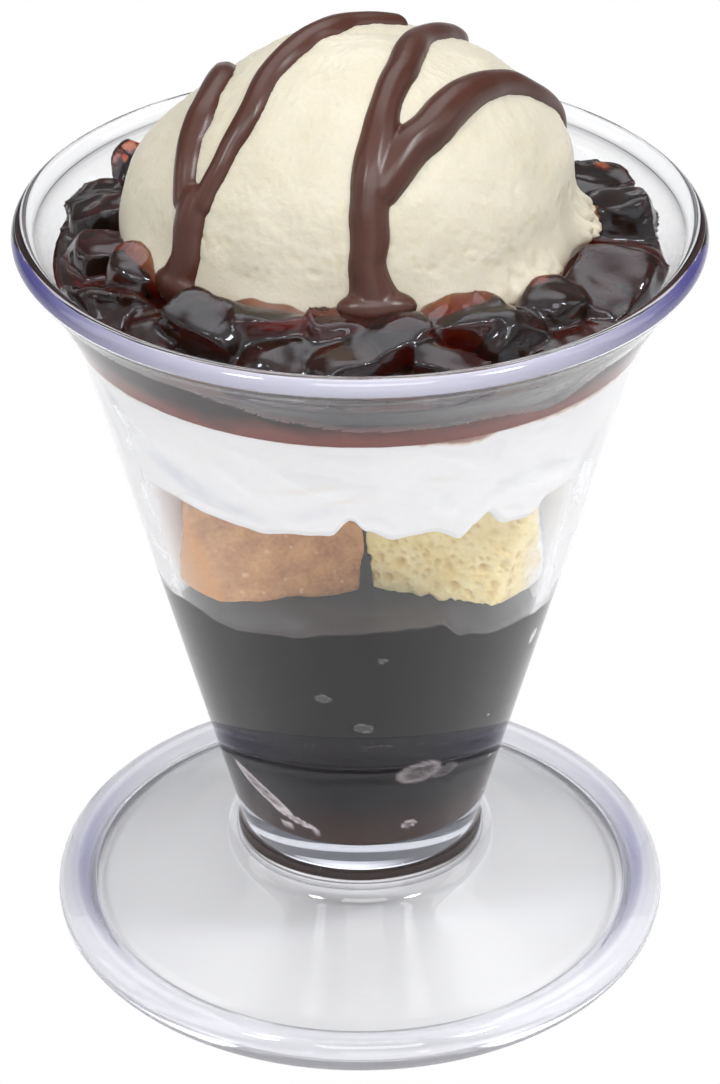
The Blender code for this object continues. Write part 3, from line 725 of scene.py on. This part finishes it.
def makeLowerJelly():
    top = lowerJelly["top"]
    lowest = cup["floor"] + cup["floorCorner"]
    edge = innerRadius(top)
    profile = [(edge * share, top) for share in lowerJelly["topShares"]]
    rows = spread(top, lowest, lowerJelly["rows"])
    profile += [(innerRadius(z) + lowerJelly["bite"], z) for z in rows]
    corner = list(reversed(floorCorner(-lowerJelly["bite"], 6)))[1:]
    profile += corner + [(0.0, cup["floor"] - lowerJelly["bite"])]
    bm = spunProfile(profile, lowerJelly["steps"])
    mark = bm.verts.layers.float.new("bubbleReflection")
    waveHeight, waveLength = lowerJelly["contactWave"]
    for vertex in bm.verts:
        point = vertex.co
        radius = radiusOf(point)
        azimuth = azimuthOf(point)
        contact = aroundWall(lowerJelly["contact"], azimuth)
        contact += waveHeight * noise.noise(Vector((azimuth / waveLength, 3.1, 0.0)))
        if radius > innerRadius(point.z) and point.z >= lowest:
            z = lowest + (point.z - lowest) * (contact - lowest) / (top - lowest)
            hollow, look = bubbleDepth(azimuth, z)
            vertex[mark] = min(1.0, look)
            target = innerRadius(z) + lowerJelly["bite"] - hollow
        elif point.z > top - 0.01:
            slope = ease((radius / edge - 0.80) / 0.20)
            z = top + (contact - top) * slope ** 1.5
            z += 0.25 * noise.noise(point / 3.0) * (1.0 - slope)
            target = radius * (1.0 - (1.0 - innerRadius(z) / edge) * slope)
        else:
            continue
        setRadius(point, radius, target)
        point.z = z
    bm.normal_update()
    for face in bm.faces:
        middle = face.calc_center_median()
        radius = radiusOf(middle)
        atWall = radius > innerRadius(middle.z) - 0.02 or middle.z < lowest
        face.material_index = 0 if atWall else 1
    return newPiece("lowerJelly", bm, [lowJellyWall, jellyTop], ("jelly_lower",))


makeLowerJelly()

# The sponge cake pieces

cakes = {
    "height": 15.5, "stand": 57.5, "cuts": 64, "rough": 0.45,
    "round": 0.30, "ball": 1.32, "roundFrom": 1.05, "roundOver": 0.68,    # corners, in half sides
    "room": 0.25,             # kept between them and the wall
    "smeared": (-31, 12),     # azimuth where cream covers the cut crumb, and how soon it fades
    # depth and size of the grain, cell, size and strength of the pores, and how deep they are
    "crust": (((0.16, 1.0), (0.08, 0.45)), ((2.1, 0.24, 1.0), (1.3, 0.22, 1.0)), 0.12),
    "crumb": (((0.22, 1.1), (0.12, 0.45)), ((1.9, 0.55, 1.0), (1.0, 0.50, 0.8)), 0.75),
    # solid, middle, turn, size, crust outside
    "pieces": {
        "crustCakeFront": ("cake_crust_front", (-11.0, -9.9), 7, (21.0, 17.0), True),
        "crumbCakeFront": ("cake_crumb_front", (12.2, -10.3), -13, (19.5, 17.0), False),
        "crumbCakeBack": ("cake_crumb_back", (-11.4, 9.9), -8, (19.5, 15.5), False),
        "crustCakeBack": ("cake_crust_back", (11.2, 10.1), 8, (20.0, 15.5), True),
    },
}


def poreDepth(point, cell, size):
    # Round hollows of the crumb, in some of the cells of an uneven net
    distances, places = noise.voronoi(point / cell)
    if noise.noise(places[0] * 7.3) < -0.12:
        return 0.0
    return ease(1.0 - distances[0] / size)


def makeCake(name, node, middle, turn, size, crusted):
    bm = bmesh.new()
    bmesh.ops.create_cube(bm, size=1.0)
    bmesh.ops.subdivide_edges(bm, edges=bm.edges, cuts=cakes["cuts"], use_grid_fill=True)
    mark = bm.verts.layers.float.new("pore")
    paintedWallContact = bm.verts.layers.float.new("paintedWallContact")
    smear = bm.verts.layers.float.new("smear")
    half = Vector((size[0], size[1], cakes["height"])) * 0.5
    offset = Vector((middle[0], middle[1], 0.0))
    grains, pores, deep = cakes["crust"] if crusted else cakes["crumb"]
    for vertex in bm.verts:
        unit = vertex.co * 2.0
        ball = unit.normalized() * cakes["ball"]
        corner = max(0.0, unit.length - cakes["roundFrom"])
        unit = unit.lerp(ball, cakes["round"] * corner / cakes["roundOver"])
        point = Vector((unit.x * half.x, unit.y * half.y, unit.z * half.z))
        spot = point + offset
        rough = cakes["rough"] * noise.noise(point / 4.0 + offset)
        fine = sum(depth * noise.noise(spot / wide) for depth, wide in grains)
        pore = max(most * poreDepth(spot + offset * i, cell, wide)
                   for i, (cell, wide, most) in enumerate(pores))
        # the pore mark paints the crumb's pores darker as shade, and gives the crust pale flecks
        vertex[mark] = pore
        vertex.co = point + unit.normalized() * (rough + fine - deep * pore)
    lift = cakes["stand"] + half.z + 0.2
    where = Matrix.Translation((middle[0], middle[1], lift))
    bm.transform(where @ rotation(turn, "Z"))
    edge, fading = cakes["smeared"]
    for vertex in bm.verts:
        radius = radiusOf(vertex.co)
        limit = innerRadius(vertex.co.z) - cakes["room"]
        # deeper orange painted where the piece touches the wall, standing in for the missing reflected
        # haze there
        vertex[paintedWallContact] = ease((radius - limit + 0.9) / 1.2)
        beside = turnBetween(azimuthOf(vertex.co), edge) + 6.0 * noise.noise(vertex.co / 3.0)
        vertex[smear] = ease((beside + fading) / fading) * ease((radius - 20.0) / 4.0)
        setRadius(vertex.co, radius, min(radius, limit))
        vertex.co.z = max(vertex.co.z, cakes["stand"] - 0.3)
    material = spongeCrust if crusted else spongeCrumb
    return newPiece(name, bm, [material], (node,))


for cakeName, row in cakes["pieces"].items():
    makeCake(cakeName, *row)

# The whipped cream

cream = {
    "steps": 300, "wallRows": 60, "bite": 0.10, "bottom": 57.0, "level": 88.7,
    "stand": 1.1, "curl": 0.4,    # how far its folds and its lower edge stand off the wall
    "topShares": (0.0, 0.4, 0.7, 0.85, 0.93, 0.97),
    # its underside, as a share of the inner radius and the rise over its lower edge
    "under": ((0.975, -0.35), (0.94, -0.3), (0.9, 0.2), (0.86, 0.9), (0.8, 1.4), (0.7, 1.8),
              (0.5, 2.0), (0.0, 2.0)),
    # azimuth and height at the wall of its upper edge, and of its lower one over the cakes
    "top": ((-160, 88.4), (-141, 88.3), (-128, 89.2), (-114, 88.9), (-100, 88.6), (-86, 89.0),
            (-66, 87.4), (-62, 88.6), (-43, 87.9), (-20, 88.2), (30, 88.8), (80, 88.2), (120, 89.0)),
    "edge": ((-156, 53.0), (-150, 56.5), (-146.5, 73.2), (-138, 73.5), (-127, 73.0), (-113, 72.5),
             (-103, 73.3), (-97, 73.4), (-92, 76.3), (-88.5, 74.2), (-82, 73.0), (-73, 73.4),
             (-66, 71.6), (-62.5, 73.5), (-60, 74.8), (-54, 72.0), (-47, 71.4), (-43, 73.4),
             (-35, 73.8), (-31.5, 70.0), (-28, 58.0), (-22, 52.0), (14, 53.0), (26, 62.0),
             (40, 73.0), (62, 72.0), (84, 74.0), (96, 71.8), (120, 73.4), (140, 72.6),
             (154, 60.0), (168, 53.0)),
    # azimuth, height, half length, half height, turn, strength
    "shades": ((-131, 77.5, 5.5, 1.5, -22, 0.8), (-119, 75.6, 4.0, 1.0, -12, 0.6),
               (-150, 84.0, 3.2, 1.3, -55, 0.7), (-157, 80.0, 4.5, 1.2, -70, 0.6),
               (-100, 77.0, 3.4, 0.9, 18, 0.35), (-58, 78.5, 4.4, 0.8, 28, 0.30),
               (-30, 76.5, 4.0, 1.2, 60, 0.4)),
    "stains": ((-101, 80.6, 3.6, 0.45, 12, 0.22), (-92, 79.6, 2.6, 0.40, 20, 0.2),
               (-73, 82.0, 2.2, 0.4, -8, 0.12)),
    "soaked": 0.75,           # how brown its upper edge is, where jelly has run in
}


def creamTop(azimuth):
    ragged = 0.35 * noise.noise(Vector((azimuth / 2.2, 0.0, 4.0)))
    ragged += 0.22 * noise.noise(Vector((azimuth / 0.7, 0.0, 9.0)))
    return aroundWall(cream["top"], azimuth) + ragged


def makeCreamBody():
    top, bottom, under = cream["level"], cream["bottom"], cream["under"]
    rows = spread(top, bottom, cream["wallRows"])
    profile = [(innerRadius(top) * share, top) for share in cream["topShares"]]
    profile += [(innerRadius(z) + cream["bite"], z) for z in rows]
    # the underside's rows first lie a millimetre apart, which tells them from each other
    profile += [(innerRadius(bottom) * share, bottom - 1.0 - i) for i, (share, _) in enumerate(under)]
    bm = spunProfile(profile, cream["steps"])
    shade = bm.verts.layers.float.new("shade")
    stain = bm.verts.layers.float.new("stain")
    for vertex in bm.verts:
        point = vertex.co
        radius = radiusOf(point)
        azimuth = azimuthOf(point)
        high = creamTop(azimuth)
        low = aroundWall(cream["edge"], azimuth) + 0.3 * noise.noise(Vector((azimuth / 5.0, 7.0, 0.0)))
        if point.z < bottom - 0.5:
            share, rise = under[round(bottom - 1.0 - point.z)]
            z = low + rise
            target = innerRadius(z) * share
            z += 0.3 * noise.noise(point / 4.0)
        elif radius > innerRadius(point.z):
            up = (point.z - bottom) / (top - bottom)
            z = low + (high - low) * up
            fold = noise.noise(Vector((azimuth / 11.0 + z / 9.0, z / 4.2, 2.0)))
            stand = max(0.0, fold - 0.12) * cream["stand"] * ease((1.0 - up) * 4.0) * ease(up * 6.0)
            curl = cream["curl"] * ease(1.0 - up * 16.0)
            target = innerRadius(z) + cream["bite"] - stand - curl
        else:
            z = top + (high - top) * ease(radius / innerRadius(top) * 3.0 - 2.0)
            target = radius
        setRadius(point, radius, target)
        point.z = z
        wisp = 0.8 + 0.5 * noise.noise(Vector((azimuth / 3.0, z / 1.5, 5.0)))
        for mark, patches, strong in ((shade, cream["shades"], wisp), (stain, cream["stains"], 1.0)):
            for *spot, most in patches:
                vertex[mark] = max(vertex[mark], most * bell(awayFrom(azimuth, z, *spot), 1.0) * strong)
        vertex[stain] = max(vertex[stain], cream["soaked"] * ease((z - high + 0.55) / 0.5))
    bm.normal_update()
    return newPiece("whippedCream", bm, [whippedCream], ("cream",))


makeCreamBody()

# The heap of jelly chunks

heap = {
    "bottom": 88.3, "bite": 0.12, "voxel": 0.36, "smoothing": 5, "seed": 11,
    # azimuth, and height above which the chunks stand clear of the wall
    "contact": ((-150, 95.5), (-122, 95.0), (-114, 94.0), (-105, 92.4), (-89, 91.1), (-75, 91.2),
                (-66, 91.4), (-52, 90.1), (-38, 93.5), (-20, 94.5), (60, 94.0), (120, 95.0)),
    "clear": 0.55,
    "near": 0.9,              # what comes nearer to the wall is pressed against it
    "wallTop": 97.0,
    "coreTop": 96.4,
    "room": 0.45,             # kept between the chunks and the wall
    "skew": 0.13, "wave": (0.9, 3.6),    # how uneven a chunk is, with depth and length in mm
    # middle x y z, size x y z, turn, tilt, lean, roundness
    "chunks": (
        ((-28.2, 20.5, 96.4), (5, 8, 6), 35, 12, 8, 0.2),
        ((-32.2, 8.6, 95.4), (8, 11, 5.5), 12, -8, -14, 0.15),
        ((-30.8, -3.4, 95.2), (8, 8.5, 8.5), 14, 5, 8, 0.15),
        ((-25.8, -10.4, 97.0), (8, 7.5, 7.5), 30, 14, 0, 0.6),
        ((-30.4, -17.0, 94.4), (9, 13, 9), 30, -12, 16, 0.35),
        ((-23.6, -23.0, 95.2), (8, 7, 7), 50, 8, -10, 0.6),
        ((-17.6, -24.0, 96.6), (11, 8, 8), -38, 16, 10, 0.3),
        ((-10.4, -25.0, 97.4), (10, 8, 7.5), 10, -12, 6, 0.3),
        ((-9.2, -30.6, 94.8), (11, 8, 7), -16, 8, 0, 0.5),
        ((-3.4, -26.4, 98.0), (8, 6, 6), 24, 14, 10, 0.35),
        ((1.2, -30.0, 96.4), (16, 7, 7.5), 34, 12, -8, 0.25),
        ((10.2, -31.6, 95.2), (8, 6, 6.5), -14, 14, 6, 0.15),
        ((11.6, -24.2, 97.6), (10, 7, 6.5), 6, 10, -6, 0.4),
        ((17.0, -24.8, 96.4), (9, 8.5, 8.5), 30, -12, 12, 0.5),
        ((22.0, -19.0, 97.2), (8, 7, 6.5), 55, 8, 0, 0.45),
        ((28.2, -14.2, 95.9), (14, 10.5, 8), 60, 9, -12, 0.2),
        ((24.4, -25.4, 94.6), (12, 7, 6.5), 44, -8, 0, 0.5),
        ((32.8, -7.0, 95.0), (7, 9, 6), 8, 8, 10, 0.4),
        ((31.2, 6.6, 95.8), (8.5, 9.5, 8), 8, -10, -8, 0.35),
        ((29.0, 16.2, 95.4), (9, 8, 5.5), 30, 6, 8, 0.2),
        ((21.4, 26.0, 94.6), (10, 8, 6), 52, -6, 8, 0.3),
        ((12.6, 31.6, 93.6), (8, 7, 6), 20, 8, 0, 0.4),
        ((0.0, 33.0, 93.3), (10, 6, 6), -6, -6, 0, 0.4),
        ((-12.8, 31.2, 93.8), (9, 8, 6), -22, 6, 0, 0.3),
        ((-21.8, 26.4, 94.8), (9, 8, 6), 40, -8, 6, 0.3),
    ),
}


def addChunk(bm, draw, middle, size, turn, tilt, lean, roundness):
    lump = bmesh.new()
    bmesh.ops.create_cube(lump, size=1.0)
    for vertex in lump.verts:
        vertex.co += Vector([draw.uniform(-heap["skew"], heap["skew"]) for _ in range(3)])
    bmesh.ops.subdivide_edges(lump, edges=lump.edges, cuts=9, use_grid_fill=True)
    shift = Vector([draw.uniform(-50, 50) for _ in range(3)])
    depth, length = heap["wave"]
    for vertex in lump.verts:
        unit = vertex.co * 2.0
        reach = max(abs(unit.x), abs(unit.y), abs(unit.z), 0.001)
        ball = unit.normalized() * (0.35 + 0.75 * reach)
        corner = max(0.0, unit.length / reach - 1.18) / 0.55
        unit = unit.lerp(ball, min(1.0, roundness + 0.35 * corner))
        point = Vector((unit.x * size[0], unit.y * size[1], unit.z * size[2])) * 0.5
        wave = Vector([noise.noise(point / length + shift + Vector((k * 9.0, 0, 0))) for k in range(3)])
        vertex.co = point + wave * depth
    place = Matrix.Translation(middle) @ rotation(turn, "Z")
    tipped = place @ rotation(tilt, "X")
    lump.transform(tipped @ rotation(lean, "Y"))
    for vertex in lump.verts:
        radius = radiusOf(vertex.co)
        setRadius(vertex.co, radius, min(radius, innerRadius(vertex.co.z) - heap["room"]))
        vertex.co.z = max(vertex.co.z, heap["bottom"] + 1.0)
    mesh = bpy.data.meshes.new("lump")
    lump.to_mesh(mesh)
    lump.free()
    bm.from_mesh(mesh)
    bpy.data.meshes.remove(mesh)


def makeHeap():
    bottom = heap["bottom"]
    core = [(0.0, heap["coreTop"]), (26.0, heap["coreTop"]), (33.0, 95.6)]
    core += [(innerRadius(z) - 0.3, z) for z in (95.0, 93.0, 91.0, 89.5, bottom)]
    core += [(28.0, bottom), (14.0, bottom), (0.0, bottom)]
    bm = spunProfile(core, 96)
    draw = random.Random(heap["seed"])
    for row in heap["chunks"]:
        addChunk(bm, draw, *row)
    bm = meltTogether(bm, heap["voxel"], heap["smoothing"])
    for vertex in bm.verts:
        point = vertex.co
        radius = radiusOf(point)
        if innerRadius(point.z) - radius < heap["near"] and point.z < heap["wallTop"]:
            off = ease((point.z - aroundWall(heap["contact"], azimuthOf(point))) / 0.5)
            target = innerRadius(point.z) + heap["bite"] - (heap["bite"] + heap["clear"]) * off
            setRadius(point, radius, target)
    bm.normal_update()
    for face in bm.faces:
        middle = face.calc_center_median()
        radius = radiusOf(middle)
        atWall = radius > innerRadius(middle.z) - 0.05 and middle.z < heap["wallTop"]
        face.material_index = 1 if atWall else 0
    return newPiece("jellyHeap", bm, [chunkJelly, heapJellyWall], ("jelly_heap",))


makeHeap()

# The scoop of ice cream

scoop = {
    "middle": Vector((-0.9, 2.5, 95.3)), "radius": 26.8, "bottom": -3.2,
    "steps": 520, "rings": 120,
    "skirtHeight": 3.0, "skirtHalf": 2.5, "skirtBase": 0.4,
    # azimuth, reach, half width in degrees
    "tongues": ((3, 2.3, 9), (-7, 1.6, 6), (-38, 1.9, 15), (-64, 1.1, 12), (-112, 0.9, 16),
                (-150, 1.3, 14), (48, 0.7, 14)),
    "ragged": 0.6,            # how uneven the edge of the longest tongues is
    "lean": 0.55, "relief": 0.25,
    "grain": ((0.07, 0.75), (0.05, 0.38)),    # depth and size
    "rough": 0.12, "pitDepth": 0.16, "tearDepth": 0.22,
    "band": 0.22,             # how high on the scoop pits and tears are, 1 at the top
    "dry": (5.5, 4.0),        # melted and smooth below this height, and how soon that fades
    # azimuth, elevation, rise, width and height in degrees
    "shoulders": ((17, 24, 1.9, 24, 12), (32, 44, 1.2, 34, 20), (170, 17, 2.1, 36, 17),
                  (131, 50, -1.0, 38, 20)),
}


def skirtReach(azimuth):
    reach = scoop["skirtBase"]
    for place, length, width in scoop["tongues"]:
        reach += length * bell(turnBetween(azimuth, place), width)
    return reach


def scoopLean(out):
    elevation = math.degrees(math.asin(max(-1.0, min(1.0, out.z))))
    rise = scoop["lean"] * (out.x * 0.8 + 0.2) * ease(out.z * 1.4)
    for place, height, most, wide, high in scoop["shoulders"]:
        across = turnBetween(azimuthOf(out), place) * math.cos(math.radians(elevation))
        rise += most * bell(across, wide) * bell(elevation - height, high)
    return rise


def makeScoop():
    profile = []
    for i in range(scoop["rings"]):
        angle = math.radians(90 - 84 * i / (scoop["rings"] - 1))
        profile.append((scoop["radius"] * math.cos(angle), scoop["radius"] * math.sin(angle)))
    low = scoop["radius"] * 0.985
    profile += [(low, z) for z in (2.4, 2.0, 1.6, 1.2, 0.8, 0.4, 0.0)]
    profile += [(low - 0.4, -0.9), (low - 1.2, -2.2)]
    profile += [(low - 3.2, scoop["bottom"]), (0.0, scoop["bottom"])]
    bm = spunProfile(profile, scoop["steps"])
    mark = bm.verts.layers.float.new("pit")
    for vertex in bm.verts:
        point = vertex.co.copy()
        radius = radiusOf(point)
        if radius < 0.1:
            vertex.co = point + scoop["middle"]
            continue
        out = point.normalized()
        azimuth = azimuthOf(point)
        reach = skirtReach(azimuth) + 0.35 * noise.noise(Vector((azimuth / 8.0, 1.0, 0.0)))
        drips = noise.noise(Vector((azimuth / 2.3, point.z / 1.6, 8.0))) + 0.6 * noise.noise(point / 0.8)
        reach *= 1.0 + scoop["ragged"] * drips * ease((reach - 0.8) / 2.0)
        skirt = reach * bell(point.z - scoop["skirtHeight"], scoop["skirtHalf"])
        rise = ease((point.z + 2.0) / 6.0)
        relief = scoop["relief"] * noise.noise(point / 5.0) * rise
        dry = ease((point.z - scoop["dry"][0]) / scoop["dry"][1])
        rough = noise.noise(point / 2.2 + Vector((0, 0, 20)))
        grain = sum(deep * noise.noise(point / wide) for deep, wide in scoop["grain"])
        band = bell(out.z - scoop["band"], 0.22)
        pit = ease((noise.noise(point / 0.95 + Vector((5, 0, 0))) + 0.5 * rough - 0.30) * 3.2)
        pit *= 0.12 + 0.88 * band
        tear = ease((noise.noise(Vector((azimuth / 5.0, point.z / 1.6, 3.0))) - 0.30) * 3.0) * band
        depth = grain + scoop["rough"] * rough - scoop["pitDepth"] * pit - scoop["tearDepth"] * tear
        # painted shade in the pits and tears, where the scoop is dry
        vertex[mark] = (pit * 0.45 + 0.35 * tear) * dry
        flat = Vector((point.x / radius, point.y / radius, 0.0))
        vertex.co = point + scoop["middle"] + flat * skirt + out * (scoopLean(out) + relief + depth * dry)
    bm.normal_update()
    return newPiece("iceCreamScoop", bm, [vanillaIce], ("ice_cream",))


makeScoop()

# The chocolate drizzle

drizzle = {
    "voxel": 0.22, "smoothing": 12, "beads": 16,
    "sunk": 0.28,             # how deep a ribbon's middle lies in the scoop, in its radii
    "swell": 1.1, "uneven": 0.07,    # scales a ribbon's half width, and how much that varies
    # azimuth, elevation as seen from the scoop's middle, half width
    "strokes": {
        "leftOuter": ((160, 50, 1.90), (173, 52, 2.18), (188, 49, 2.18), (196, 45, 2.20),
                      (202, 40, 2.04), (207, 36, 1.84), (211, 32, 1.70), (215, 28, 1.84)),
        "leftInner": ((62, 66, 1.59), (83, 74, 1.83), (101, 77, 1.95), (132, 80, 2.01),
                      (166, 78, 2.01), (189, 74, 2.01), (205, 66, 1.89), (217, 57, 1.77),
                      (220, 51, 1.65), (221, 45, 1.52), (222, 40, 1.49), (222, 34, 1.49),
                      (222, 29, 1.65)),
        "leftTrunk": ((219, 29, 2.1), (220, 24, 2.35), (221, 20, 2.2), (222, 16, 2.25),
                      (222, 13, 2.4), (221.5, 10, 2.65), (221, 7.5, 2.9)),
        "rightOuter": ((22, 22, 1.48), (19, 29, 1.60), (16, 34, 1.71), (12, 39, 1.71),
                       (6, 46, 1.77), (-2, 51, 1.82), (-14, 55, 2.05), (-29, 57, 2.22),
                       (-44, 56, 2.34), (-56, 53, 2.39), (-67, 50, 2.39), (-75, 45, 2.39),
                       (-81, 40, 2.28)),
        "rightInner": ((52, 42, 1.57), (46, 50, 1.68), (41, 58, 1.68), (23, 71, 1.79),
                       (-14, 75, 1.96), (-46, 72, 1.96), (-62, 68, 1.90), (-71, 63, 1.90),
                       (-76, 58, 2.02), (-79, 53, 2.18), (-82, 47, 2.35), (-84, 41, 2.35)),
        "rightTrunk": ((-83, 44, 2.3), (-84, 40, 2.35), (-85, 34, 2.25), (-85, 28, 2.2),
                       (-86, 22, 2.15), (-85.5, 18, 2.3), (-85, 15, 2.6), (-84.5, 12.5, 3.0)),
    },
    # azimuth, elevation, half sizes across, down, out
    "pools": ((221, 7, (3.5, 2.5, 1.9)), (-84, 11.2, (4.8, 2.0, 2.3))),
}


def overScoop(out, proud):
    return scoop["middle"] + out * (scoop["radius"] + scoopLean(out) + proud)


def onScoop(azimuth, elevation, proud):
    azimuth, elevation = math.radians(azimuth), math.radians(elevation)
    return overScoop(Vector((math.cos(azimuth) * math.cos(elevation),
                             math.sin(azimuth) * math.cos(elevation), math.sin(elevation))), proud)


def addStroke(bm, rows):
    # A string of overlapping beads along the stroke, which melt into one ribbon
    beads = drizzle["beads"]
    chain = smoothChain([onScoop(azimuth, elevation, 0.0) for azimuth, elevation, _ in rows], beads)
    widths = smoothChain([(half, 0.0, 0.0) for _, _, half in rows], beads)
    for point, width in zip(chain, widths):
        radius = width.x * drizzle["swell"] * (1.0 + drizzle["uneven"] * noise.noise(point / 5.0))
        place = overScoop((point - scoop["middle"]).normalized(), -radius * drizzle["sunk"])
        bmesh.ops.create_icosphere(bm, subdivisions=2, radius=radius, matrix=Matrix.Translation(place))


def makeDrizzle():
    bm = bmesh.new()
    for rows in drizzle["strokes"].values():
        addStroke(bm, rows)
    for azimuth, elevation, (across, down, out) in drizzle["pools"]:
        place = Matrix.Translation(onScoop(azimuth, elevation, 0.5))
        turned = rotation(azimuth - 90, "Z")
        turned = place @ (turned @ rotation(-elevation, "X"))
        bmesh.ops.create_icosphere(bm, subdivisions=3, radius=1.0,
                                   matrix=turned @ Matrix.Diagonal((across, out, down, 1.0)))
    bm = meltTogether(bm, drizzle["voxel"], drizzle["smoothing"])
    return newPiece("chocolateDrizzle", bm, [chocolateSauce], ("ice_cream",))


makeDrizzle()

# The floor


def makeFloor():
    # The camera sees a white page, all other light a pale floor
    material, nodes, links, shader = newMaterial("paleFloor", {
        "Base Color": (*studio["floorColour"], 1), "Roughness": 0.9, "Specular IOR Level": 0.0})
    seen = addChoice(nodes, links, nodes.new("ShaderNodeEmission"), shader)
    links.new(seen, nodes["Material Output"].inputs["Surface"])
    bm = bmesh.new()
    bmesh.ops.create_grid(bm, x_segments=1, y_segments=1, size=studio["floorSize"] / 2)
    mesh = bpy.data.meshes.new("floor")
    bm.to_mesh(mesh)
    bm.free()
    mesh.materials.append(material)
    floor = bpy.data.objects.new("floor", mesh)
    scene.collection.objects.link(floor)


makeFloor()

print("scene complete")
